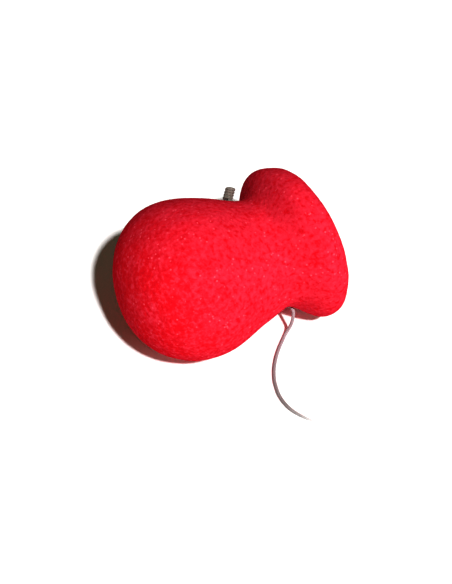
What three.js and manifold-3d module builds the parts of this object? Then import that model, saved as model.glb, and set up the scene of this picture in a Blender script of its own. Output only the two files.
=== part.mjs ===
// A sponge-foam clown nose lying on its side, with a thin elastic cord held across its waist.
// Millimetres, +Z up. The bulb faces -Y and the open back faces +Y. The origin is on the surface
// that the nose lies on, under the middle of the foam.
import * as THREE from "three";
import { mergeVertices } from "three/addons/utils/BufferGeometryUtils.js";
import Module from "manifold-3d";

const wasm = await Module();
wasm.setup();

// The foam, measured along its axis from the bulb's widest ring.
const BULB_DIAMETER = 51.8;
const BULB_NOSE = 24; // from the bulb's front tip to its widest ring
const BULB_TO_WAIST = 24.8;
const WAIST_DIAMETER = 38.2;
const WAIST_TO_LIP = 10.1; // the lip is the flange's widest ring
const FLANGE_DIAMETER = 51.8;
const LIP_TO_BACK = 6.1;
const BACK_DIAMETER = 44.4; // the flat face round the hollow's mouth
const BULB_TURN = 10.9; // degrees that the soft waist lets the bulb turn towards -X
const TURN_SOFTNESS = 3; // the length along the axis that the turn is spread over

// How full the curves between those rings are. 2 makes a quarter of an ellipse.
const BULB_SQUARENESS = 2.25;
const LIP_SQUARENESS = 1.9;
const SHOULDER_FULLNESS = 1.1; // over 1 holds the bulb round for longer behind its widest ring
const FLANGE_RISE = 1.55; // over 1 lets the waist run longer before the flange rises

// Where the soft foam stands in or out of a round section: its place along the foam as a share of
// the whole length from the front tip, the side that it faces in degrees from +X towards +Z, how
// far it reaches along and round, and its height as a share of the radius there.
const SWELLS = [
  { name: "tail notch", along: 0.77, faces: -40, reach: 0.06, round: 34, height: -0.08 },
  { name: "near corner of the flange", along: 0.96, faces: -30, reach: 0.06, round: 30, height: 0.04 },
  { name: "front of the flange", along: 0.84, faces: -58, reach: 0.05, round: 22, height: -0.085 },
  { name: "far corner of the flange", along: 0.95, faces: 125, reach: 0.06, round: 30, height: -0.02 },
  { name: "upper side of the bulb", along: 0.48, faces: 134, reach: 0.12, round: 40, height: -0.025 },
  { name: "underside of the front", along: 0.1, faces: -66, reach: 0.16, round: 40, height: -0.06 },
  { name: "far side of the front", along: 0.2, faces: 160, reach: 0.14, round: 40, height: 0.025 },
];

// The hollow for the wearer's nose, open at the back.
const MOUTH_DIAMETER = 31;
const HOLLOW_DEPTH = 14.5;
const HOLLOW_SQUARENESS = 2.6;
const MOUTH_CHAMFER = 1; // takes the sharp edge off the mouth

// The elastic, and the channel that it passes through.
const ELASTIC_DIAMETER = 1.1;
const CHANNEL_CLEARANCE = 0.3;
const TAIL_MOUTH_BEHIND = 2.6; // from the waist towards the back, before the bulb's turn
const TAIL_MOUTH_FACES = -46; // the side that the mouth is on, in degrees from +X towards +Z
const KNOT_MOUTH_AHEAD = 5.4; // from the waist towards the bulb, before the bulb's turn
const KNOT_MOUTH_FACES = 144;
const KNOT_LENGTH = 4.9; // a barrel knot with its cut end
const KNOT_WIDTH = 3.3;
const KNOT_LEAN = 46; // degrees that the knot leans over towards the flange
const KNOT_STAND = -0.5; // from the elastic's bend over the channel's mouth to the knot's near end
const JOIN_GAP = 0.3; // between two pieces that meet
const TAIL_LEAD = 1.2; // how far the tail runs straight on out of the channel

// How finely the round forms are faceted.
const FOAM_SIDES = 24;
const NOSE_STEPS = 12;
const SHOULDER_STEPS = 10;
const RISE_STEPS = 7;
const LIP_STEPS = 5;
const HOLLOW_STEPS = 8;
const ELASTIC_SIDES = 8;
const KNOT_SIDES = 12;
const TAIL_STEPS = 28;

// The free tail's centreline: down from the lower notch to the surface, then along it in a loose S
// to the bare tip. The points are chosen by hand.
const TAIL_ROUTE = [
  [17.15, 18.05, 9.3],
  [16.95, 18, 7.1],
  [16.6, 17.9, 4.9],
  [16.3, 17.5, 3],
  [16.2, 16.8, 1.6],
  [16.5, 15.8, 0.8],
  [17.1, 14.8, 0.57],
  [17.9, 13.7, 0.57],
  [19.4, 11.6, 0.57],
  [21, 9.6, 0.57],
  [22.7, 7.7, 0.57],
  [24.5, 6, 0.57],
  [26.4, 4.4, 0.57],
  [28.3, 3.1, 0.57],
  [30.4, 1.9, 0.57],
  [32.6, 1, 0.57],
  [34.9, 0.2, 0.57],
  [37.4, -0.2, 0.57],
  [40.2, -0.2, 0.57],
  [43.3, 0.4, 0.57],
  [47.1, 2, 0.57],
  [49.3, 3.3, 0.57],
];

const RED_FOAM = { color: 0xf3273a, roughness: 0.95, metalness: 0 };
const DARK_ELASTIC = { color: 0x5a5048, roughness: 0.8, metalness: 0 };
const GREY_ELASTIC = { color: 0x967a7d, roughness: 0.75, metalness: 0 };

const radians = THREE.MathUtils.degToRad;
const FOAM_LENGTH = BULB_NOSE + BULB_TO_WAIST + WAIST_TO_LIP + LIP_TO_BACK;
const LIP_AT = BULB_TO_WAIST + WAIST_TO_LIP;
const BACK_AT = LIP_AT + LIP_TO_BACK;
const AXIS = new THREE.Vector3(0, 1, 0); // the foam's axis, from the bulb to its back
const CUT_MARGIN = 2; // how far a cutting form runs past the face that it cuts

// A quarter of a superellipse: its height, as a share, at a share of its half-length.
function quarter(share, squareness) {
  return (1 - Math.min(1, share) ** squareness) ** (1 / squareness);
}

// The foam's radius at a place along the axis, before its swells and dents.
function roundRadius(along) {
  const bulb = BULB_DIAMETER / 2;
  const waist = WAIST_DIAMETER / 2;
  const lip = FLANGE_DIAMETER / 2;
  const back = BACK_DIAMETER / 2;
  if (along < 0) return bulb * quarter(-along / BULB_NOSE, BULB_SQUARENESS);
  if (along < BULB_TO_WAIST) {
    const fall = 0.5 - 0.5 * Math.cos(Math.PI * (along / BULB_TO_WAIST) ** SHOULDER_FULLNESS);
    return bulb + (waist - bulb) * fall;
  }
  if (along < LIP_AT) {
    const rise = Math.sin((Math.PI / 2) * ((along - BULB_TO_WAIST) / WAIST_TO_LIP)) ** FLANGE_RISE;
    return waist + (lip - waist) * rise;
  }
  return back + (lip - back) * quarter((along - LIP_AT) / LIP_TO_BACK, LIP_SQUARENESS);
}

// The share by which the foam's radius grows or shrinks, at a place along the axis and a side in
// degrees.
function swellAt(along, faces) {
  let share = 0;
  for (const swell of SWELLS) {
    const away = (along + BULB_NOSE) / FOAM_LENGTH - swell.along;
    const turn = ((faces - swell.faces + 540) % 360) - 180;
    const fade = Math.exp(-((away / swell.reach) ** 2) - (turn / swell.round) ** 2);
    share += swell.height * fade;
  }
  return share;
}

// Turns a point of the straight foam with the bulb, about the middle of the waist.
function turnWithBulb(point) {
  const pivot = new THREE.Vector3(0, BULB_TO_WAIST, 0);
  const share = 1 / (1 + Math.exp((point.y - BULB_TO_WAIST) / TURN_SOFTNESS));
  const turned = point.clone().sub(pivot);
  turned.applyAxisAngle(new THREE.Vector3(0, 0, 1), -radians(BULB_TURN)).add(pivot);
  return point.clone().lerp(turned, share);
}

// The places along the axis of the foam's rings, closer together where the outline turns faster.
function ringPlaces() {
  const places = [];
  for (let i = 0; i < NOSE_STEPS; i++) {
    places.push(-BULB_NOSE * Math.cos((Math.PI / 2) * (i / NOSE_STEPS)));
  }
  for (let i = 0; i < SHOULDER_STEPS; i++) places.push(BULB_TO_WAIST * (i / SHOULDER_STEPS));
  for (let i = 0; i < RISE_STEPS; i++) places.push(BULB_TO_WAIST + WAIST_TO_LIP * (i / RISE_STEPS));
  for (let i = 0; i <= LIP_STEPS; i++) {
    places.push(LIP_AT + LIP_TO_BACK * Math.sin((Math.PI / 2) * (i / LIP_STEPS)));
  }
  return places;
}

// A lathed form round the Y axis with one flat facing down, as wide across its flats as its profile.
function lathe(profile, sides) {
  const half = Math.PI / sides;
  const acrossCorners = profile.map((p) => new THREE.Vector2(p.x / Math.cos(half), p.y));
  return new THREE.LatheGeometry(acrossCorners, sides, half);
}

// A geometry as a solid that can be joined and cut.
function solidOf(geometry) {
  const bare = new THREE.BufferGeometry();
  bare.setAttribute("position", geometry.getAttribute("position"));
  bare.setIndex(geometry.getIndex());
  const merged = mergeVertices(bare, 1e-4);
  const corners = merged.getIndex().array;
  const kept = [];
  for (let i = 0; i < corners.length; i += 3) {
    const [a, b, c] = [corners[i], corners[i + 1], corners[i + 2]];
    if (a !== b && b !== c && c !== a) kept.push(a, b, c);
  }
  return new wasm.Manifold(
    new wasm.Mesh({
      numProp: 3,
      vertProperties: merged.getAttribute("position").array,
      triVerts: new Uint32Array(kept),
    }),
  );
}

// A solid back as a geometry with flat-shaded faces.
function geometryOf(solid) {
  const mesh = solid.getMesh();
  const geometry = new THREE.BufferGeometry();
  geometry.setAttribute("position", new THREE.BufferAttribute(mesh.vertProperties, 3));
  geometry.setIndex(new THREE.BufferAttribute(mesh.triVerts, 1));
  geometry.computeVertexNormals();
  return geometry;
}

// The foam's outer form: lathed, then swollen and dented, then turned at the waist.
function outerForm() {
  const profile = ringPlaces().map((along) => new THREE.Vector2(roundRadius(along), along));
  profile.push(new THREE.Vector2(0, BACK_AT));
  const form = lathe(profile, FOAM_SIDES);
  const position = form.getAttribute("position");
  const point = new THREE.Vector3();
  for (let i = 0; i < position.count; i++) {
    point.fromBufferAttribute(position, i);
    const growth = 1 + swellAt(point.y, THREE.MathUtils.radToDeg(Math.atan2(point.z, point.x)));
    point.x *= growth;
    point.z *= growth;
    const turned = turnWithBulb(point);
    position.setXYZ(i, turned.x, turned.y, turned.z);
  }
  return solidOf(form);
}

// The cup that is cut out of the back, with its mouth's chamfer.
function hollowForm() {
  const mouth = MOUTH_DIAMETER / 2;
  const profile = [new THREE.Vector2(0, BACK_AT - HOLLOW_DEPTH)];
  for (let i = 1; i <= HOLLOW_STEPS; i++) {
    const radius = mouth * Math.sin((Math.PI / 2) * (i / HOLLOW_STEPS));
    const depth = (HOLLOW_DEPTH - MOUTH_CHAMFER) * quarter(radius / mouth, HOLLOW_SQUARENESS);
    profile.push(new THREE.Vector2(radius, BACK_AT - MOUTH_CHAMFER - depth));
  }
  profile.push(new THREE.Vector2(mouth + MOUTH_CHAMFER + CUT_MARGIN, BACK_AT + CUT_MARGIN));
  profile.push(new THREE.Vector2(0, BACK_AT + CUT_MARGIN));
  return solidOf(lathe(profile, FOAM_SIDES));
}

// A point of the foam's surface, at a place along the axis and a side in degrees.
function surfaceAt(along, faces) {
  const reach = roundRadius(along) * (1 + swellAt(along, faces));
  const side = radians(faces);
  return turnWithBulb(new THREE.Vector3(reach * Math.cos(side), along, reach * Math.sin(side)));
}

// Where the channel crosses the foam: its two mouths, and its way down to the tail.
function channelLine() {
  const tail = surfaceAt(BULB_TO_WAIST + TAIL_MOUTH_BEHIND, TAIL_MOUTH_FACES);
  const knot = surfaceAt(BULB_TO_WAIST - KNOT_MOUTH_AHEAD, KNOT_MOUTH_FACES);
  return { tail, knot, down: tail.clone().sub(knot).normalize() };
}

// A round bar of the elastic's sides, from one point to another.
function bar(from, to, diameter) {
  const way = to.clone().sub(from);
  const middle = from.clone().addScaledVector(way, 0.5);
  const turn = new THREE.Quaternion().setFromUnitVectors(AXIS, way.clone().normalize());
  const round = new THREE.CylinderGeometry(diameter / 2, diameter / 2, way.length(), ELASTIC_SIDES);
  round.applyQuaternion(turn).translate(middle.x, middle.y, middle.z);
  return solidOf(round);
}

// The point so far past the channel's lower mouth, straight on.
function pastTail(line, distance) {
  return line.tail.clone().addScaledVector(line.down, distance);
}

// The point so far past the channel's upper mouth, straight on.
function pastKnot(line, distance) {
  return line.knot.clone().addScaledVector(line.down, -distance);
}

// Where the elastic bends over the channel's upper mouth, on its way to the knot.
function knotFoot(line) {
  return pastKnot(line, ELASTIC_DIAMETER / 2);
}

// The knot and its foot, grown all over by a margin.
function knotForm(line, margin) {
  const lean = radians(KNOT_LEAN);
  const leant = line.down.clone().multiplyScalar(-Math.cos(lean)).addScaledVector(AXIS, Math.sin(lean));
  const middle = knotFoot(line).addScaledVector(leant, KNOT_STAND + KNOT_LENGTH / 2);
  const turn = new THREE.Quaternion().setFromUnitVectors(AXIS, leant);
  const knot = new THREE.SphereGeometry(0.5, KNOT_SIDES, KNOT_SIDES / 2);
  knot.scale(KNOT_WIDTH + 2 * margin, KNOT_LENGTH + 2 * margin, KNOT_WIDTH + 2 * margin);
  knot.applyQuaternion(turn).translate(middle.x, middle.y, middle.z);
  return bar(knotFoot(line), middle, ELASTIC_DIAMETER + 2 * margin).add(solidOf(knot));
}

// The foam with its hollow, its channel, and the dimple that the knot presses into it.
function foamNose(line) {
  const knotEnd = pastKnot(line, CUT_MARGIN);
  const tailEnd = pastTail(line, CUT_MARGIN);
  const foam = outerForm()
    .subtract(hollowForm())
    .subtract(bar(knotEnd, tailEnd, ELASTIC_DIAMETER + 2 * CHANNEL_CLEARANCE))
    .subtract(knotForm(line, CHANNEL_CLEARANCE));
  return named("foam_nose", geometryOf(foam), RED_FOAM);
}

// The stretch in the channel, and the stopper knot that leans out of the upper notch.
function elasticThrough(line) {
  const held = bar(knotFoot(line), line.tail, ELASTIC_DIAMETER);
  return named("elastic_through", geometryOf(held.add(knotForm(line, 0))), DARK_ELASTIC);
}

// The free tail, from just past the held stretch's end, straight on for a little, then on its route.
function elasticTail(exit, down) {
  const points = [exit, exit.clone().addScaledVector(down, TAIL_LEAD)];
  for (const [x, y, z] of TAIL_ROUTE) points.push(new THREE.Vector3(x, y, z));
  const section = new THREE.Shape();
  for (let i = 0; i < ELASTIC_SIDES; i++) {
    const angle = (2 * Math.PI * i) / ELASTIC_SIDES;
    const corner = new THREE.Vector2(Math.cos(angle), Math.sin(angle));
    corner.multiplyScalar(ELASTIC_DIAMETER / 2);
    if (i === 0) section.moveTo(corner.x, corner.y);
    else section.lineTo(corner.x, corner.y);
  }
  const tube = new THREE.ExtrudeGeometry(section, {
    steps: TAIL_STEPS,
    extrudePath: new THREE.CatmullRomCurve3(points),
  });
  return named("elastic_tail", tube, GREY_ELASTIC);
}

function named(name, geometry, finish) {
  const mesh = new THREE.Mesh(geometry, new THREE.MeshStandardMaterial(finish));
  mesh.name = name;
  return mesh;
}

// The whole nose, moved so that it stands on the surface with the foam's middle over the origin.
function clownNose() {
  const line = channelLine();
  const nose = new THREE.Group();
  nose.add(foamNose(line), elasticThrough(line));
  const extent = new THREE.Box3().setFromObject(nose);
  const centre = extent.getCenter(new THREE.Vector3());
  nose.position.set(-centre.x, -centre.y, -extent.min.z);
  const exit = pastTail(line, JOIN_GAP).add(nose.position);
  const whole = new THREE.Group();
  whole.add(nose, elasticTail(exit, line.down));
  return whole;
}

export default clownNose();
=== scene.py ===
"""A sponge-foam clown nose lying on its side, with its elastic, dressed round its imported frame.

Sizes are in millimetres in the frame's own axes, as in the part's source, and a finished mesh is
in metres. The bulb faces -Y, the open back faces +Y, and the surface that the nose lies on is at
the height of the origin.
"""
import logging
import math
from dataclasses import dataclass
from enum import Enum

import bmesh
import bpy
from mathutils import Matrix, Vector, noise


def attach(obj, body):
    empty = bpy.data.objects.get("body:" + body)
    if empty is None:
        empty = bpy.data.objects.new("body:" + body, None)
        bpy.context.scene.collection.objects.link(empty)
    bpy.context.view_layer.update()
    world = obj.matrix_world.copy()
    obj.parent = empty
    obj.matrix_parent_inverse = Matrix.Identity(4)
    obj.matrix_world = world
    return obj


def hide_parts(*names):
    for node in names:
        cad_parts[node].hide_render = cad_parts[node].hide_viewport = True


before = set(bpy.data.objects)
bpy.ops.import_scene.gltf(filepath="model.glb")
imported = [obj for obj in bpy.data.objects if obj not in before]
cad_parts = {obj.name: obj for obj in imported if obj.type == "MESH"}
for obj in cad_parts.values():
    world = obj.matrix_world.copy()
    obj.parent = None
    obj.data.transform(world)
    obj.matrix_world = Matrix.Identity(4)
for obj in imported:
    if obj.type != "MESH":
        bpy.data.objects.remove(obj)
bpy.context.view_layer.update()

LOG = logging.getLogger("clown_nose")
METRES = 0.001
AXIS = Vector((0.0, 1.0, 0.0))
FOAM_PLACE = Vector((2.483, -8.577, 25.919))
# Points nearer to each other than SEAM are one point, and SLACK is past any rounding error.
SEAM = 1e-4
SLACK = 0.01
# For each layer of a curve's blends: which point starts the blend, and the knots it runs between.
BLENDS = (((0, 0, 1), (1, 1, 2), (2, 2, 3)), ((0, 0, 2), (1, 1, 3)), ((0, 1, 2),))

Point = tuple[float, float, float]
Colour = tuple[float, float, float]
Span = tuple[float, float]
Stops = tuple[tuple[float, Colour], ...]


class Sum(Enum):
    """The ways in which a node board puts numbers together."""

    PLUS = "ADD"
    TIMES = "MULTIPLY"
    TIMES_PLUS = "MULTIPLY_ADD"
    OVER = "DIVIDE"
    LARGER = "MAXIMUM"
    BELOW = "LESS_THAN"
    SINE = "SINE"


class Layer(Enum):
    """The ways in which one colour is laid over another."""

    PAINT = "MIX"
    TINT = "MULTIPLY"


class Growth(Enum):
    """The ways in which a share grows over its span."""

    EVEN = "LINEAR"
    SOFT = "SMOOTHSTEP"


class Mouth(Enum):
    """The two mouths of the channel, with the way out of each along the channel."""

    KNOT = -1.0
    TAIL = 1.0


class Board:
    """The node board of one material, with a principled shader already on it."""

    def __init__(self, name: str) -> None:
        """Start a material.

        Args:
            name: What the material is called.
        """
        self.material = bpy.data.materials.new(name)
        self.material.use_nodes = True
        self.tree = self.material.node_tree
        self.shader = self.tree.nodes["Principled BSDF"]

    def set(self, **values: float | tuple) -> None:
        """Type constants on the shader's own sockets, with spaces written as underscores."""
        for socket, value in values.items():
            self.shader.inputs[socket.replace("_", " ")].default_value = value

    def add(self, kind: str, settings: dict | None = None, **inputs: object) -> bpy.types.Node:
        """Add a node.

        Args:
            kind: The node's type, without the words that all shader nodes' types begin with.
            settings: The node's own settings by name.
            inputs: What goes into its sockets, by name or as s0, s1 for the socket's number. A
                node's output is wired, and anything else is typed in.

        Returns:
            The new node.
        """
        node = self.tree.nodes.new("ShaderNode" + kind)
        for name, value in (settings or {}).items():
            setattr(node, name, value)
        for name, value in inputs.items():
            numbered = name[0] == "s" and name[1:].isdigit()
            socket = node.inputs[int(name[1:]) if numbered else name.replace("_", " ")]
            if isinstance(value, bpy.types.NodeSocket):
                self.tree.links.new(value, socket)
            else:
                socket.default_value = value
        return node

    def drive(self, socket: str, source: bpy.types.NodeSocket) -> None:
        """Wire a pattern into one of the shader's sockets."""
        self.tree.links.new(source, self.shader.inputs[socket])

    def millimetres(self) -> bpy.types.NodeSocket:
        """Give the piece's own coordinates in millimetres."""
        place = self.add("TexCoord").outputs["Object"]
        return self.add("Mapping", Vector=place, Scale=(1 / METRES,) * 3).outputs["Vector"]

    def share(self, value: bpy.types.NodeSocket, span: Span, full: float = 1.0, least: float = 0.0,
              growth: Growth = Growth.EVEN) -> bpy.types.NodeSocket:
        """Turn a number into a share that grows over a span of it.

        Args:
            value: The number.
            span: The numbers at which the share starts to grow and is full.
            full: The full share.
            least: The share before it grows.
            growth: How it grows.

        Returns:
            The share's socket.
        """
        node = self.add("MapRange", {"interpolation_type": growth.value}, Value=value,
                        From_Min=span[0], From_Max=span[1], To_Min=least, To_Max=full)
        return node.outputs["Result"]

    def ramp(self, source: bpy.types.NodeSocket, stops: Stops) -> bpy.types.NodeSocket:
        """Turn a number into a colour.

        Args:
            source: The number, from 0 to 1.
            stops: Pairs of a place from 0 to 1 and the colour there.

        Returns:
            The colour's socket.
        """
        node = self.add("ValToRGB", Fac=source)
        elements = node.color_ramp.elements
        while len(elements) < len(stops):
            elements.new(position=0.5)
        for element, (place, colour) in zip(elements, stops):
            element.position = place
            element.color = (*colour, 1.0)
        return node.outputs["Color"]

    def mix(self, share: object, one: object, other: object, layer: Layer = Layer.PAINT
            ) -> bpy.types.NodeSocket:
        """Mix two colours.

        Args:
            share: How much of the second colour is laid over the first.
            one: The first colour.
            other: The second colour.
            layer: How the second is laid over the first.

        Returns:
            The mixed colour's socket.
        """
        settings = {"data_type": "RGBA", "blend_type": layer.value}
        return self.add("Mix", settings, s0=share, s6=one, s7=other).outputs[2]

    def reckon(self, operation: Sum, *numbers: object) -> bpy.types.NodeSocket:
        """Work out a number from others.

        Args:
            operation: How they are put together.
            numbers: Up to three numbers or sockets, in the order that the operation takes them.

        Returns:
            The number's socket.
        """
        inputs = {f"s{i}": number for i, number in enumerate(numbers)}
        return self.add("Math", {"operation": operation.value}, **inputs).outputs[0]

    def bump(self, height: bpy.types.NodeSocket, strength: float, depth: float) -> None:
        """Let the shader see a fine relief.

        Args:
            height: The pattern of its height.
            strength: How strongly it shades.
            depth: Its depth in millimetres.
        """
        node = self.add("Bump", Height=height, Strength=strength, Distance=depth * METRES)
        self.drive("Normal", node.outputs["Normal"])


@dataclass(frozen=True)
class FoamFinish:
    """Red sponge foam: matte and fine-celled, with a few painted glints over a random mottle.

    The mottle is painted paler on the raised grain as painted highlight, and darker in the pores as
    painted shade. The bulb's end is painted a deeper red as painted shade, and the rest a little
    paler as a painted sheen where the light falls, with more painted glints.
    """

    # The pore and wall colours paint the grain darker in its hollows, as painted shade in the pores,
    # and paler on its raised cells, as painted highlight.
    pore: Colour = (0.60, 0.009, 0.024)
    body: Colour = (0.66, 0.010, 0.024)
    wall_and_highlight: Colour = (0.72, 0.044, 0.082)
    # The bloom colour is the pink of the random blotches and also of the painted sheen.
    bloom_and_sheen: Colour = (0.65, 0.031, 0.064)
    # The glint colour is painted highlight in small specks.
    painted_glint: Colour = (0.82, 0.11, 0.16)
    grain_size: float = 1.4
    grain_detail: float = 3.0
    grain_roughness: float = 0.6
    grain_distortion: float = 0.3
    wall_and_highlight_span: Span = (0.47, 0.68)
    pore_shade_span: Span = (0.5, 0.32)
    blotch_size: float = 6.0
    blotch_detail: float = 3.0
    bloom_span: Span = (0.42, 0.66)
    bloom_share: float = 0.5
    # The painted sheen grows along the axis over this span, from the bulb's end, with its share of
    # bloom and of extra glints.
    painted_sheen_span: Span = (-26.0, -4.0)
    painted_sheen_share: float = 0.75
    painted_sheen_glints: float = 0.04
    # Size, span, share and clustering of the painted glints.
    painted_glint_size: float = 1.0
    painted_glint_span: Span = (0.42, 0.12)
    painted_glint_share: float = 0.06
    painted_glint_cluster: float = 0.7
    cell_size: float = 1.0
    cell_smoothness: float = 0.4
    cell_share: float = -0.3
    bump_strength: float = 0.4
    bump_depth: float = 0.2

    def skin(self, board: Board, grain: bpy.types.NodeSocket, pink: bpy.types.NodeSocket
             ) -> bpy.types.NodeSocket:
        """Colour the foam, without its painted glints.

        Args:
            board: The foam's node board.
            grain: The fine grain, from 0 to 1.
            pink: How far the body's red goes over to the pink of the blotches and of the painted
                sheen.

        Returns:
            The colour's socket.
        """
        body = board.mix(pink, (*self.body, 1.0), (*self.bloom_and_sheen, 1.0))
        # Pale where the grain stands up, as painted highlight on the cell walls, and dark where it
        # sinks, as painted shade in the pores.
        pale = board.share(grain, self.wall_and_highlight_span, growth=Growth.SOFT)
        dark = board.share(grain, self.pore_shade_span, growth=Growth.SOFT)
        return board.mix(dark, board.mix(pale, body, (*self.wall_and_highlight, 1.0)), (*self.pore, 1.0))

    def painted_glints(self, board: Board, place: bpy.types.NodeSocket, crowd: bpy.types.NodeSocket
               ) -> bpy.types.NodeSocket:
        """Scatter the painted glints: small pale specks of painted highlight.

        Args:
            board: The foam's node board.
            place: The foam's own coordinates in millimetres.
            crowd: The chance of a painted glint, from 0 to 1.

        Returns:
            The share of painted glint at each place.
        """
        spots = board.add("TexVoronoi", Vector=place, Scale=1 / self.painted_glint_size)
        chance = board.add("SeparateColor", Color=spots.outputs["Color"]).outputs["Red"]
        near = board.share(spots.outputs["Distance"], self.painted_glint_span)
        return board.reckon(Sum.TIMES, board.reckon(Sum.BELOW, chance, crowd), near)

    def material(self) -> bpy.types.Material:
        """Build the foam's material.

        Returns:
            The material.
        """
        board = Board("red_foam")
        place = board.millimetres()
        grain = board.add("TexNoise", Vector=place, Scale=1 / self.grain_size,
                          Detail=self.grain_detail, Roughness=self.grain_roughness,
                          Distortion=self.grain_distortion).outputs["Fac"]
        cells = board.add("TexVoronoi", {"feature": "SMOOTH_F1"}, Vector=place,
                          Scale=1 / self.cell_size,
                          Smoothness=self.cell_smoothness).outputs["Distance"]
        blotch = board.add("TexNoise", Vector=place, Scale=1 / self.blotch_size,
                           Detail=self.blotch_detail).outputs["Fac"]
        # Painted sheen along the axis: the foam turns paler from the bulb's end towards the middle
        # and the flange, where the light falls, so the bulb's end keeps a deeper red as painted
        # shade.
        painted_sheen = board.share(board.add("SeparateXYZ", Vector=place).outputs["Y"], self.painted_sheen_span)
        pink = board.reckon(Sum.PLUS, board.share(blotch, self.bloom_span, self.bloom_share),
                            board.reckon(Sum.TIMES, painted_sheen, self.painted_sheen_share))
        # More painted glints where the foam is blotched and where the painted sheen is.
        crowd = board.reckon(Sum.TIMES_PLUS, blotch, self.painted_glint_cluster,
                             self.painted_glint_share - self.painted_glint_cluster / 2)
        crowd = board.reckon(Sum.PLUS, crowd, board.reckon(Sum.TIMES, painted_sheen, self.painted_sheen_glints))
        painted_shine = self.painted_glints(board, place, crowd)
        # The painted glints are small specks of painted highlight laid over the colour.
        board.drive("Base Color", board.mix(painted_shine, self.skin(board, grain, pink), (*self.painted_glint, 1.0)))
        height = board.reckon(Sum.PLUS, grain, board.reckon(Sum.TIMES, cells, self.cell_share))
        board.bump(height, self.bump_strength, self.bump_depth)
        board.set(Roughness=0.55, Specular_IOR_Level=0.0)
        return board.material


@dataclass(frozen=True)
class Braid:
    """The braided cover of the elastic."""

    strands: int = 6
    pitch: float = 1.5
    height: float = 0.035

    def growth(self, share: float, along: float, radius: float) -> float:
        """Give the braid's low relief.

        Args:
            share: The place round the elastic, from 0 to 1.
            along: The place along it, in millimetres.
            radius: The elastic's radius there.

        Returns:
            The growth of the radius, as a factor that is never over 1.
        """
        waves = [math.sin(2 * math.pi * (self.strands * share + way * along / self.pitch))
                 for way in (1.0, -1.0)]
        return 1 - self.height * (1 - max(waves)) / (2 * radius)


@dataclass(frozen=True)
class ElasticFinish:
    """A fine braided cover over round elastic, with its colour changing along the strand."""

    name: str
    stops: Stops
    length: float
    braid: Braid = Braid()
    fibre_scale: Point = (30.0, 2.0, 1.0)
    fuzz_detail: float = 2.0
    shade_span: Span = (-0.3, 1.5)
    dark_share: float = 0.45
    light_share: float = 1.15
    bump_strength: float = 0.5
    bump_depth: float = 0.05

    def relief(self, board: Board, strand: bpy.types.NodeSocket) -> bpy.types.NodeSocket:
        """Draw the braid and its fuzz.

        Args:
            board: The elastic's node board.
            strand: The place on the elastic: the share round it and the millimetres along it.

        Returns:
            The height's socket.
        """
        turns = []
        for way in (1.0, -1.0):
            wave = (2 * math.pi * self.braid.strands, way * 2 * math.pi / self.braid.pitch, 0.0)
            angle = board.add("VectorMath", {"operation": "DOT_PRODUCT"}, s0=strand, s1=wave)
            turns.append(board.reckon(Sum.SINE, angle.outputs["Value"]))
        fibre = board.add("Mapping", Vector=strand, Scale=self.fibre_scale).outputs["Vector"]
        fuzz = board.add("TexNoise", Vector=fibre, Scale=1.0, Detail=self.fuzz_detail).outputs["Fac"]
        return board.reckon(Sum.PLUS, board.reckon(Sum.LARGER, *turns), fuzz)

    def material(self) -> bpy.types.Material:
        """Build the elastic's material on the strand's own UV map.

        Returns:
            The material.
        """
        board = Board(self.name)
        strand = board.add("UVMap", {"uv_map": "strand"}).outputs["UV"]
        along = board.add("SeparateXYZ", Vector=strand).outputs["Y"]
        cover = board.ramp(board.reckon(Sum.OVER, along, self.length), self.stops)
        height = self.relief(board, strand)
        level = board.share(height, self.shade_span, self.light_share, self.dark_share)
        shade = board.add("CombineColor", Red=level, Green=level, Blue=level).outputs["Color"]
        board.drive("Base Color", board.mix(1.0, cover, shade, Layer.TINT))
        board.bump(height, self.bump_strength, self.bump_depth)
        board.set(Roughness=0.7, Specular_IOR_Level=0.3, Sheen_Weight=0.15, Sheen_Roughness=0.4)
        return board.material


@dataclass(frozen=True)
class TableFinish:
    """A plain white table top."""

    colour: Colour = (0.92, 0.92, 0.92)
    dim_share: float = 0.97
    mottle_size: float = 20.0
    mottle_detail: float = 2.0
    mottle_span: Span = (0.3, 0.7)

    def material(self) -> bpy.types.Material:
        """Build the table's material, with a barely visible mottle.

        Returns:
            The material.
        """
        board = Board("white_table")
        mottle = board.add("TexNoise", Vector=board.millimetres(), Scale=1 / self.mottle_size,
                           Detail=self.mottle_detail).outputs["Fac"]
        dim = tuple(self.dim_share * share for share in self.colour)
        stops = tuple(zip(self.mottle_span, (dim, self.colour)))
        board.drive("Base Color", board.ramp(mottle, stops))
        board.set(Roughness=0.8, Specular_IOR_Level=0.2)
        return board.material


def finished_piece(name: str, mesh: bpy.types.Mesh) -> bpy.types.Object:
    """Put a mesh that is in millimetres into the scene as a piece in metres.

    Args:
        name: The piece's name.
        mesh: Its mesh.

    Returns:
        The piece, with its place in its mesh.
    """
    mesh.transform(Matrix.Scale(METRES, 4))
    mesh.shade_smooth()
    mesh.name = name
    piece = bpy.data.objects.new(name, mesh)
    bpy.context.collection.objects.link(piece)
    return piece


def direction(azimuth: float, elevation: float) -> Vector:
    """Give the way towards a place in the room.

    Args:
        azimuth: Its side, in degrees from the bulb's end towards the tail's side.
        elevation: Its height above the table, in degrees.

    Returns:
        The way there, one unit long.
    """
    side, height = math.radians(azimuth), math.radians(elevation)
    return Vector((math.sin(side) * math.cos(height), -math.cos(side) * math.cos(height),
                   math.sin(height)))


def mesh_from(form: bmesh.types.BMesh, name: str) -> bpy.types.Mesh:
    """Write a bmesh into a new mesh, and free it.

    Args:
        form: The bmesh.
        name: The new mesh's name.

    Returns:
        The mesh.
    """
    mesh = bpy.data.meshes.new(name)
    form.to_mesh(mesh)
    form.free()
    return mesh


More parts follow.
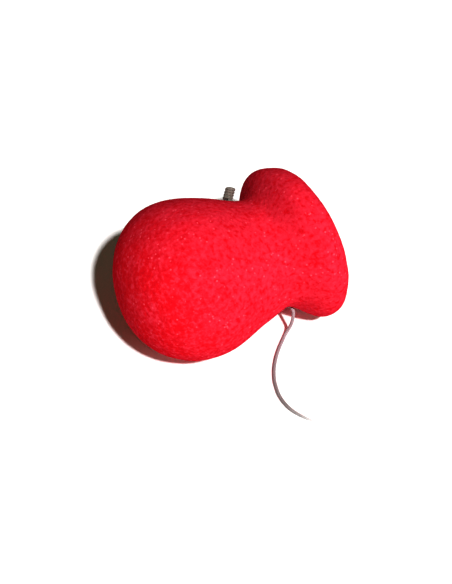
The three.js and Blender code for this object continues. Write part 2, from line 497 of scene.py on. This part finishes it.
@dataclass
class PhotoCamera:
    """The camera, where the photograph was taken from."""

    azimuth: float = 56.57
    elevation: float = 50.0
    distance: float = 420.0
    aim: Point = (5.76, -0.48, 22.27)
    lens: float = 82.0
    sensor_height: float = 36.0

    def build(self) -> bpy.types.Object:
        """Place the camera and make it the scene's own.

        Returns:
            The camera.
        """
        back = direction(self.azimuth, self.elevation)
        data = bpy.data.cameras.new("photo_camera")
        data.sensor_fit = "VERTICAL"
        data.sensor_height = self.sensor_height
        data.lens = self.lens
        data.clip_start = 0.01
        camera = bpy.data.objects.new("photo_camera", data)
        camera.location = (Vector(self.aim) + back * self.distance) * METRES
        camera.rotation_euler = back.to_track_quat("Z", "Y").to_euler()
        bpy.context.collection.objects.link(camera)
        bpy.context.scene.camera = camera
        return camera


@dataclass
class Studio:
    """The white table and its light: a small key, a low soft side light and a fill all round."""

    half_width: float = 3000.0
    key_azimuth: float = 82.6
    key_elevation: float = 54.0
    key_power: float = 4.5
    key_angle: float = 3.0
    side_azimuth: float = 110.0
    side_elevation: float = 22.0
    side_power: float = 0.7
    side_angle: float = 20.0
    fill_colour: Colour = (1.0, 1.0, 0.66)
    fill_power: float = 0.10
    view_gamma: float = 0.68

    def table(self) -> bpy.types.Object:
        """Make the table top.

        Returns:
            The table.
        """
        form = bmesh.new()
        bmesh.ops.create_grid(form, x_segments=1, y_segments=1, size=self.half_width)
        table = finished_piece("table", mesh_from(form, "table"))
        table.data.materials.append(TableFinish().material())
        return table

    def lamp(self, name: str, azimuth: float, elevation: float, power: float, angle: float
             ) -> bpy.types.Object:
        """Hang a far light.

        Args:
            name: What it is called.
            azimuth: Where it hangs, in degrees from the bulb's end towards the tail's side.
            elevation: How high it hangs, in degrees.
            power: Its strength.
            angle: How wide it looks from the table, in degrees.

        Returns:
            The light.
        """
        towards = direction(azimuth, elevation)
        data = bpy.data.lights.new(name, "SUN")
        data.energy = power
        data.angle = math.radians(angle)
        light = bpy.data.objects.new(name, data)
        light.location = towards
        light.rotation_euler = towards.to_track_quat("Z", "Y").to_euler()
        bpy.context.collection.objects.link(light)
        return light

    def fill(self) -> bpy.types.World:
        """Fill the room with plain soft light.

        Returns:
            The world.
        """
        world = bpy.data.worlds.new("room")
        world.use_nodes = True
        glow = world.node_tree.nodes["Background"]
        glow.inputs["Color"].default_value = (*self.fill_colour, 1.0)
        glow.inputs["Strength"].default_value = self.fill_power
        bpy.context.scene.world = world
        return world

    def build(self) -> None:
        """Set up the table, the lights and the plain view of them."""
        self.table()
        self.lamp("key", self.key_azimuth, self.key_elevation, self.key_power, self.key_angle)
        self.lamp("side", self.side_azimuth, self.side_elevation, self.side_power, self.side_angle)
        self.fill()
        view = bpy.context.scene.view_settings
        view.view_transform = "Standard"
        view.gamma = self.view_gamma


@dataclass(frozen=True)
class Swell:
    """A place where the soft foam stands in or out of a round section.

    The place is given as a share of the foam's whole length from the front tip, and the side that
    it faces in degrees from +X towards +Z.
    """

    along: float
    faces: float
    reach: float
    round: float
    height: float


@dataclass(frozen=True)
class Channel:
    """The straight channel that the elastic passes through, from one mouth to the other."""

    tail: Vector
    knot: Vector

    @property
    def down(self) -> Vector:
        """Give the way from the knot's mouth down to the tail's."""
        return (self.tail - self.knot).normalized()

    @property
    def length(self) -> float:
        """Give the distance between the mouths."""
        return (self.tail - self.knot).length

    def past(self, mouth: Mouth, distance: float) -> Vector:
        """Find the point so far out of a mouth, straight on.

        Args:
            mouth: The mouth.
            distance: How far out of it, in millimetres.

        Returns:
            The point.
        """
        start = self.tail if mouth is Mouth.TAIL else self.knot
        return start + self.down * (mouth.value * distance)


@dataclass
class FoamNose:
    """The foam: a bulb, a waist and a flange in one piece, hollow at the back."""

    bulb_diameter: float = 51.8
    bulb_nose: float = 24.0
    bulb_to_waist: float = 24.8
    waist_diameter: float = 38.2
    waist_to_lip: float = 10.1
    flange_diameter: float = 51.8
    lip_to_back: float = 6.1
    back_diameter: float = 44.4
    bulb_turn: float = 10.9
    turn_softness: float = 3.0
    bulb_squareness: float = 2.25
    lip_squareness: float = 1.9
    shoulder_fullness: float = 1.1
    flange_rise: float = 1.55
    swells: tuple[Swell, ...] = (
        Swell(0.77, -40, 0.06, 34, -0.08),
        Swell(0.96, -30, 0.06, 30, 0.04),
        Swell(0.84, -58, 0.05, 22, -0.085),
        Swell(0.95, 125, 0.06, 30, -0.02),
        Swell(0.48, 134, 0.12, 40, -0.025),
        Swell(0.1, -66, 0.16, 40, -0.06),
        Swell(0.2, 160, 0.14, 40, 0.025),
    )
    mouth_diameter: float = 31.0
    hollow_depth: float = 14.5
    hollow_squareness: float = 2.6
    mouth_round: float = 1.0
    tail_mouth_behind: float = 2.6
    tail_mouth_faces: float = -46.0
    knot_mouth_ahead: float = 5.4
    knot_mouth_faces: float = 144.0
    channel_width: float = 1.7
    cutter_past: float = 3.0
    cutter_sides: int = 24
    nose_steps: int = 44
    shoulder_steps: int = 40
    rise_steps: int = 20
    lip_steps: int = 14
    back_steps: int = 10
    edge_steps: int = 4
    hollow_steps: int = 24
    sides: int = 160
    voxel: float = 0.455
    smooth_rounds: int = 3
    plump: float = 0.08
    cell_size: float = 1.1
    cell_depth: float = 0.12
    pore_width: float = 0.5
    grain_size: float = 0.66
    grain_height: float = 0.06
    lump_size: float = 6.5
    lump_height: float = 0.16

    @property
    def lip_at(self) -> float:
        """Give the place of the flange's widest ring along the axis."""
        return self.bulb_to_waist + self.waist_to_lip

    @property
    def back_at(self) -> float:
        """Give the place of the flat back along the axis."""
        return self.lip_at + self.lip_to_back

    @staticmethod
    def quarter(share: float, squareness: float) -> float:
        """Give a quarter superellipse's height, as a share, at a share of its half-length."""
        return (1 - min(1.0, share) ** squareness) ** (1 / squareness)

    def radius(self, along: float) -> float:
        """Give the foam's radius before its swells.

        Args:
            along: The place along the axis, from the bulb's widest ring.

        Returns:
            The radius there.
        """
        bulb, waist = self.bulb_diameter / 2, self.waist_diameter / 2
        lip, back = self.flange_diameter / 2, self.back_diameter / 2
        if along < 0:
            return bulb * self.quarter(-along / self.bulb_nose, self.bulb_squareness)
        if along < self.bulb_to_waist:
            turn = math.pi * (along / self.bulb_to_waist) ** self.shoulder_fullness
            return bulb + (waist - bulb) * (0.5 - 0.5 * math.cos(turn))
        if along < self.lip_at:
            rise = math.sin(math.pi / 2 * (along - self.bulb_to_waist) / self.waist_to_lip)
            return waist + (lip - waist) * rise ** self.flange_rise
        share = (along - self.lip_at) / self.lip_to_back
        return back + (lip - back) * self.quarter(share, self.lip_squareness)

    def swell(self, along: float, faces: float) -> float:
        """Give the share by which the radius grows or shrinks.

        Args:
            along: The place along the axis.
            faces: The side, in degrees from +X towards +Z.

        Returns:
            The growth as a share of the radius.
        """
        whole = self.bulb_nose + self.back_at
        share = 0.0
        for swell in self.swells:
            away = (along + self.bulb_nose) / whole - swell.along
            turn = (faces - swell.faces + 540) % 360 - 180
            share += swell.height * math.exp(-(away / swell.reach) ** 2 - (turn / swell.round) ** 2)
        return share

    def turned(self, point: Vector) -> Vector:
        """Turn a point of the straight foam with the bulb, about the middle of the waist.

        Args:
            point: A point of the straight foam.

        Returns:
            The same point of the foam as it lies.
        """
        pivot = AXIS * self.bulb_to_waist
        share = 1 / (1 + math.exp((point.y - self.bulb_to_waist) / self.turn_softness))
        turn = Matrix.Rotation(-math.radians(self.bulb_turn), 3, "Z")
        return point.lerp(turn @ (point - pivot) + pivot, share)

    def surface(self, along: float, faces: float) -> Vector:
        """Find a point of the foam's surface.

        Args:
            along: The place along the straight foam's axis.
            faces: The side, in degrees from +X towards +Z.

        Returns:
            The point, in the frame's axes.
        """
        reach = self.radius(along) * (1 + self.swell(along, faces))
        side = math.radians(faces)
        straight = Vector((reach * math.cos(side), along, reach * math.sin(side)))
        return self.turned(straight) + FOAM_PLACE

    def channel(self) -> Channel:
        """Find the elastic's channel between its two mouths.

        Returns:
            The channel.
        """
        return Channel(
            tail=self.surface(self.bulb_to_waist + self.tail_mouth_behind, self.tail_mouth_faces),
            knot=self.surface(self.bulb_to_waist - self.knot_mouth_ahead, self.knot_mouth_faces),
        )

    def outside(self) -> list[Vector]:
        """Draw half of the section of the foam's outside, from the front tip to the back.

        Returns:
            The section's points.
        """
        places = [-self.bulb_nose * math.cos(math.pi / 2 * i / self.nose_steps)
                  for i in range(self.nose_steps)]
        places += [self.bulb_to_waist * i / self.shoulder_steps for i in range(self.shoulder_steps)]
        places += [self.bulb_to_waist + self.waist_to_lip * i / self.rise_steps
                   for i in range(self.rise_steps)]
        places += [self.lip_at + self.lip_to_back * math.sin(math.pi / 2 * i / self.lip_steps)
                   for i in range(self.lip_steps + 1)]
        return [Vector((self.radius(along), along, 0.0)) for along in places]

    def inside(self) -> list[Vector]:
        """Draw half of the section of the flat back, the round edge and the hollow.

        Returns:
            The section's points, down to the bottom of the hollow.
        """
        mouth, back, edge = self.mouth_diameter / 2, self.back_diameter / 2, self.mouth_round
        flat = mouth + edge
        points = [Vector((back + (flat - back) * i / self.back_steps, self.back_at, 0.0))
                  for i in range(1, self.back_steps + 1)]
        for i in range(1, self.edge_steps + 1):
            turn = math.pi / 2 * i / self.edge_steps
            points.append(Vector((flat - edge * math.sin(turn),
                                  self.back_at - edge * (1 - math.cos(turn)), 0.0)))
        for i in range(1, self.hollow_steps + 1):
            radius = mouth * math.cos(math.pi / 2 * i / self.hollow_steps)
            depth = (self.hollow_depth - edge) * self.quarter(radius / mouth, self.hollow_squareness)
            points.append(Vector((radius, self.back_at - edge - depth, 0.0)))
        return points

    def lathed(self) -> bmesh.types.BMesh:
        """Spin the outline into the whole foam, swollen, dented and turned at the waist.

        Returns:
            The closed form.
        """
        form = bmesh.new()
        outline = self.outside() + self.inside()
        outline[0].x = outline[-1].x = 0.0
        corners = [form.verts.new(point) for point in outline]
        edges = [form.edges.new(pair) for pair in zip(corners, corners[1:])]
        bmesh.ops.spin(form, geom=corners + edges, axis=AXIS, cent=(0, 0, 0), dvec=(0, 0, 0),
                       angle=2 * math.pi, steps=self.sides, use_merge=True)
        bmesh.ops.remove_doubles(form, verts=form.verts, dist=SEAM)
        bmesh.ops.recalc_face_normals(form, faces=form.faces)
        flat = self.mouth_diameter / 2 + self.mouth_round
        hollow_from = self.back_at - self.hollow_depth - SLACK
        for vert in form.verts:
            if vert.co.y > hollow_from and math.hypot(vert.co.x, vert.co.z) < flat:
                continue
            growth = 1 + self.swell(vert.co.y, math.degrees(math.atan2(vert.co.z, vert.co.x)))
            vert.co = self.turned(Vector((vert.co.x * growth, vert.co.y, vert.co.z * growth)))
        bmesh.ops.translate(form, verts=form.verts, vec=FOAM_PLACE)
        return form

    def cutter(self, channel: Channel) -> bmesh.types.BMesh:
        """Make the bar that cuts the channel.

        Args:
            channel: The channel.

        Returns:
            The closed bar.
        """
        form = bmesh.new()
        turn = Vector((0, 0, 1)).rotation_difference(channel.down).to_matrix().to_4x4()
        place = Matrix.Translation((channel.tail + channel.knot) / 2) @ turn
        bmesh.ops.create_cone(form, cap_ends=True, segments=self.cutter_sides,
                              radius1=self.channel_width / 2, radius2=self.channel_width / 2,
                              depth=channel.length + 2 * self.cutter_past, matrix=place)
        return form

    def foamed(self, mesh: bpy.types.Mesh, cut: bpy.types.Mesh) -> bpy.types.Mesh:
        """Cut the channel, and mesh the foam evenly and finely enough for its cells.

        Args:
            mesh: The lathed foam.
            cut: The channel's bar.

        Returns:
            The even mesh.
        """
        foam = bpy.data.objects.new("foam_blank", mesh)
        bar = bpy.data.objects.new("channel_bar", cut)
        for thing in (foam, bar):
            bpy.context.collection.objects.link(thing)
        drill = foam.modifiers.new("drill", "BOOLEAN")
        drill.operation = "DIFFERENCE"
        drill.solver = "EXACT"
        drill.object = bar
        even = foam.modifiers.new("even", "REMESH")
        even.mode = "VOXEL"
        even.voxel_size = self.voxel
        seen = foam.evaluated_get(bpy.context.evaluated_depsgraph_get())
        result = bpy.data.meshes.new_from_object(seen)
        for thing in (foam, bar):
            bpy.data.objects.remove(thing)
        return result

    def cell(self, place: Vector) -> float:
        """Give how far the surface stands out at a place.

        Args:
            place: A point of the surface.

        Returns:
            The height of the lumps, the cell walls and the pores together.
        """
        lump = noise.noise(place / self.lump_size) * self.lump_height
        near = noise.voronoi(place / self.cell_size)[0][0]
        pore = -max(0.0, self.pore_width - near) / self.pore_width * self.cell_depth
        grain = noise.noise(place / self.grain_size) * self.grain_height
        return self.plump + lump + pore + grain

    def relief(self, mesh: bpy.types.Mesh) -> None:
        """Give the even mesh its lumps and cells, and keep its lowest point on the surface.

        Args:
            mesh: The even mesh, which is changed.
        """
        form = bmesh.new()
        form.from_mesh(mesh)
        for _ in range(self.smooth_rounds):
            bmesh.ops.smooth_vert(form, verts=form.verts, factor=0.5, use_axis_x=True,
                                  use_axis_y=True, use_axis_z=True)
        form.normal_update()
        moves = [vert.normal * self.cell(vert.co) for vert in form.verts]
        for vert, move in zip(form.verts, moves):
            vert.co += move
        lowest = min(vert.co.z for vert in form.verts)
        bmesh.ops.translate(form, verts=form.verts, vec=(0, 0, -lowest))
        form.to_mesh(mesh)
        form.free()

    def build(self) -> bpy.types.Object:
        """Make the foam and dress it.

        Returns:
            The piece.
        """
        channel = self.channel()
        cut = mesh_from(self.cutter(channel), "channel_bar")
        mesh = self.foamed(mesh_from(self.lathed(), "foam_blank"), cut)
        self.relief(mesh)
        foam = finished_piece("sponge_foam", mesh)
        foam.data.materials.append(FoamFinish().material())
        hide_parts("foam_nose")
        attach(foam, "root")
        return foam


@dataclass
class Strand:
    """Round elastic swept along a route, with the low relief of its braided cover."""

    sides: int = 20
    step: float = 0.14
    braid: Braid = Braid()

    @staticmethod
    def length(line: list[Vector]) -> float:
        """Measure a line along its points."""
        return sum((end - start).length for start, end in zip(line, line[1:]))

    @staticmethod
    def smooth(points: list[Vector], step: float) -> list[Vector]:
        """Run one smooth curve through points.

        Args:
            points: The points that the curve passes through.
            step: About how far apart the curve's own points are.

        Returns:
            The curve's points, from the first point to the last.
        """
        padded = [points[0] * 2 - points[1], *points, points[-1] * 2 - points[-2]]
        curve = [points[0].copy()]
        for before, start, end, after in zip(padded, padded[1:], padded[2:], padded[3:]):
            knots = [0.0]
            for one, other in ((before, start), (start, end), (end, after)):
                knots.append(knots[-1] + math.sqrt((other - one).length))
            count = max(1, round((end - start).length / step))
            for i in range(1, count + 1):
                at = knots[1] + (knots[2] - knots[1]) * i / count
                layer = [before, start, end, after]
                for blend in BLENDS:
                    layer = [
                        layer[j].lerp(layer[j + 1], (at - knots[low]) / (knots[high] - knots[low]))
                        for j, low, high in blend
                    ]
                curve.append(layer[0])
        return curve

    @staticmethod
    def extruded(form: bmesh.types.BMesh, ring: list[bmesh.types.BMVert]
                 ) -> list[bmesh.types.BMVert]:
        """Extrude the tube's last ring.

        Args:
            form: The tube so far.
            ring: Its last ring's points.

        Returns:
            The new ring's points, in the same order.
        """
        edges = [form.edges.get(pair) for pair in zip(ring, ring[1:] + ring[:1])]
        made = set(bmesh.ops.extrude_edge_only(form, edges=edges)["geom"])
        return [next(edge.other_vert(old) for edge in old.link_edges if edge.other_vert(old) in made)
                for old in ring]

    def sweep(self, route: list[Vector], radii: list[float]) -> bmesh.types.BMesh:
        """Sweep a round section along a route.

        Args:
            route: The centreline's points.
            radii: The radius at each point.

        Returns:
            The closed tube, with a UV map that holds the share round and the millimetres along.
        """
        form = bmesh.new()
        strand_map = form.loops.layers.uv.new("strand")
        ways = [(route[min(i + 1, len(route) - 1)] - route[max(i - 1, 0)]).normalized()
                for i in range(len(route))]
        turn = Vector((0, 0, 1)).rotation_difference(ways[0])
        made = bmesh.ops.create_circle(form, cap_ends=False, segments=self.sides, radius=1.0)
        ring = sorted(made["verts"], key=lambda vert: math.atan2(vert.co.y, vert.co.x))
        section = [vert.co.copy() for vert in ring]
        rings, along = [], 0.0
        for i, (centre, way) in enumerate(zip(route, ways)):
            if i:
                turn = ways[i - 1].rotation_difference(way) @ turn
                along += (centre - route[i - 1]).length
                ring = self.extruded(form, ring)
            for j, (vert, corner) in enumerate(zip(ring, section)):
                growth = self.braid.growth(j / self.sides, along, radii[i])
                vert.co = centre + turn @ (corner * radii[i] * growth)
            rings.append((ring, along))
        numbers = {vert: (j, along) for ring, along in rings for j, vert in enumerate(ring)}
        for face in form.faces:
            wraps = {numbers[vert][0] for vert in face.verts} == {0, self.sides - 1}
            for loop in face.loops:
                j, along = numbers[loop.vert]
                share = 1.0 if wraps and j == 0 else j / self.sides
                loop[strand_map].uv = (share, along)
        for ring, along in (rings[0], rings[-1]):
            cap = form.faces.new(ring)
            for loop in cap.loops:
                loop[strand_map].uv = (numbers[loop.vert][0] / self.sides, along)
        bmesh.ops.recalc_face_normals(form, faces=form.faces)
        return form


@dataclass
class ElasticTail(Strand):
    """The free end of the elastic, from the lower notch to its bare tip."""

    diameter: float = 1.1
    lead: float = 1.2
    gap: float = 0.3
    route: tuple[Point, ...] = (
        (17.15, 18.05, 9.3), (16.95, 18.0, 7.1), (16.6, 17.9, 4.9), (16.3, 17.5, 3.0),
        (16.2, 16.8, 1.6), (16.5, 15.8, 0.8), (17.1, 14.8, 0.57), (17.9, 13.7, 0.57),
        (19.4, 11.6, 0.57), (21.0, 9.6, 0.57), (22.7, 7.7, 0.57), (24.5, 6.0, 0.57),
        (26.4, 4.4, 0.57), (28.3, 3.1, 0.57), (30.4, 1.9, 0.57), (32.6, 1.0, 0.57),
        (34.9, 0.2, 0.57), (37.4, -0.2, 0.57), (40.2, -0.2, 0.57), (43.3, 0.4, 0.57),
        (47.1, 2.0, 0.57), (49.3, 3.3, 0.57),
    )
    taper: float = 9.0
    taper_power: float = 0.7
    tip_share: float = 0.4
    path_every: int = 6

    def finish(self, length: float) -> ElasticFinish:
        """Give the tail's finish: mauve by the foam, as a painted reflection of the red foam, dark in
        the middle, and fading pale at the tip as its painted shadow runs out.

        Args:
            length: The tail's length in millimetres.

        Returns:
            The finish.
        """
        # Mauve near the foam: painted red light from the foam. The pale tip: painted where the
        # strand's shadow runs out.
        stops = ((0.0, (0.40, 0.31, 0.33)), (0.35, (0.36, 0.29, 0.31)), (0.6, (0.30, 0.27, 0.28)),
                 (0.8, (0.28, 0.26, 0.26)), (0.92, (0.42, 0.40, 0.40)), (1.0, (0.8, 0.8, 0.8)))
        return ElasticFinish("grey_elastic", stops, length)

    def centreline(self, channel: Channel) -> list[Vector]:
        """Find the tail's centreline.

        Args:
            channel: The channel that it comes out of.

        Returns:
            The centreline's points.
        """
        start = [channel.past(Mouth.TAIL, self.gap), channel.past(Mouth.TAIL, self.gap + self.lead)]
        return self.smooth(start + [Vector(point) for point in self.route], self.step)

    def build(self, channel: Channel) -> bpy.types.Object:
        """Make the tail and dress it.

        Args:
            channel: The channel that it comes out of.

        Returns:
            The piece.
        """
        line = self.centreline(channel)
        total = self.length(line)
        radii, left = [], total
        for i, point in enumerate(line):
            left -= (point - line[i - 1]).length if i else 0.0
            fade = min(1.0, max(0.0, left) / self.taper)
            share = self.tip_share + (1 - self.tip_share) * fade ** self.taper_power
            radii.append(self.diameter / 2 * share)
        tail = finished_piece("elastic_end", mesh_from(self.sweep(line, radii), "elastic_end"))
        tail.data.materials.append(self.finish(total).material())
        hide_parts("elastic_tail")
        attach(tail, "root")
        LOG.info("elastic end: %.1f mm long, from %s", total, tuple(round(c, 2) for c in line[0]))
        return tail


@dataclass
class HeldElastic(Strand):
    """The stretch of elastic held in the channel, and the barrel knot that stops it."""

    diameter: float = 1.1
    knot_length: float = 5.3
    knot_width: float = 3.3
    knot_lean: float = 46.0
    knot_stand: float = -0.5
    knot_turns: float = 4.4
    tuck_turns: float = 0.6
    tuck_sink: float = 0.6
    tuck_depth: float = 2.4
    channel_step: float = 2.5
    channel_from: float = 1.6
    turn_points: int = 24
    step: float = 0.224

    def finish(self, length: float) -> ElasticFinish:
        """Give the held stretch's finish, which darkens towards the knot and is mauve at the lower
        mouth, to meet the tail's painted reflection of the red foam.

        Args:
            length: The stretch's length in millimetres.

        Returns:
            The finish.
        """
        stops = ((0.0, (0.25, 0.24, 0.215)), (0.2, (0.22, 0.18, 0.155)),
                 (0.5, (0.19, 0.185, 0.155)), (1.0, (0.36, 0.26, 0.25)))
        return ElasticFinish("dark_elastic", stops, length)

    def coil(self, channel: Channel) -> list[Vector]:
        """Wind the knot round its core, and tuck its cut end down the middle.

        Args:
            channel: The channel.

        Returns:
            The knot's points, from its foot to the cut end.
        """
        lean = math.radians(self.knot_lean)
        way = (channel.down * -math.cos(lean) + AXIS * math.sin(lean)).normalized()
        start = channel.past(Mouth.KNOT, self.diameter / 2) + way * self.knot_stand
        side = way.orthogonal().normalized()
        other = way.cross(side)
        wind = (self.knot_width - self.diameter) / 2
        low, top = self.diameter / 2, self.knot_length - self.diameter / 2
        steps = round(self.turn_points * self.knot_turns)
        last = round(self.turn_points * self.tuck_turns)
        points = []
        for i in range(steps + last + 1):
            turn = 2 * math.pi * self.knot_turns * i / steps
            tucked = max(0, i - steps) / last
            rise = low + (top - low) * min(1.0, i / steps)
            middle = start + way * (rise - self.tuck_sink * tucked)
            out = side * math.cos(turn) + other * math.sin(turn)
            points.append(middle + out * wind * (1 - tucked))
        core = start + way * (top - self.tuck_sink)
        return points + [core - way * self.tuck_depth * share for share in (0.25, 0.5, 0.75, 1.0)]

    def centreline(self, channel: Channel) -> list[Vector]:
        """Wind the knot and run the elastic through the channel.

        Args:
            channel: The channel.

        Returns:
            The centreline's points, from the cut end in the knot to the channel's lower mouth.
        """
        count = int(channel.length / self.channel_step)
        rest = channel.length - self.channel_from
        held = [channel.past(Mouth.KNOT, -self.channel_from - i * rest / count)
                for i in range(count + 1)]
        return self.smooth([*reversed(self.coil(channel)), *held], self.step)

    def build(self, channel: Channel) -> bpy.types.Object:
        """Make the held stretch with its knot, and dress it.

        Args:
            channel: The channel.

        Returns:
            The piece.
        """
        line = self.centreline(channel)
        total = self.length(line)
        piece = finished_piece("elastic_knot", mesh_from(
            self.sweep(line, [self.diameter / 2] * len(line)), "elastic_knot"))
        piece.data.materials.append(self.finish(total).material())
        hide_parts("elastic_through")
        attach(piece, "root")
        return piece


def main() -> None:
    """Build the whole scene, the camera and the cord first."""
    logging.basicConfig(level=logging.INFO, format="%(name)s: %(message)s")
    PhotoCamera().build()
    nose = FoamNose()
    channel = nose.channel()
    for piece in (ElasticTail().build(channel), HeldElastic().build(channel), nose.build()):
        LOG.info("%s: %d faces", piece.name, len(piece.data.polygons))
    Studio().build()


if __name__ == "__main__":
    main()
